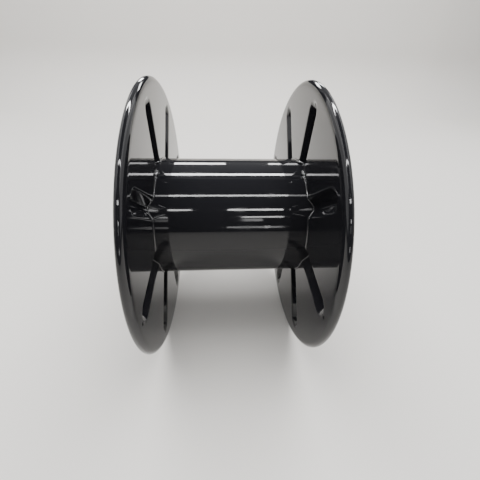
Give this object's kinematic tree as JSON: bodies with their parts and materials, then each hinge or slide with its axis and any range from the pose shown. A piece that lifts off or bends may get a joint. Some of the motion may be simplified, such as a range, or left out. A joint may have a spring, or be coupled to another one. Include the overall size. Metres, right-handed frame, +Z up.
{
  "type": "pressed steel wire reel",
  "caption": "Steel wire reel with pressed, radially grooved flanges, rolled rims, a welded barrel and a central arbor tube, lying on its rims.",
  "frame": {"origin": "on the reel's axis, half way between the flanges", "axes": "+X along the reel's axis, +Z up with the reel lying on its two rims, -Y towards the viewer of the picture"},
  "size_m": [0.3532, 0.63, 0.63],
  "materials": {
    "black_enamel": "high gloss black enamel on pressed steel"
  },
  "bodies": {
    "root": {"left_flange": "black_enamel", "right_flange": "black_enamel", "barrel": "black_enamel", "arbor_tube": "black_enamel"}
  },
  "joints": []
}
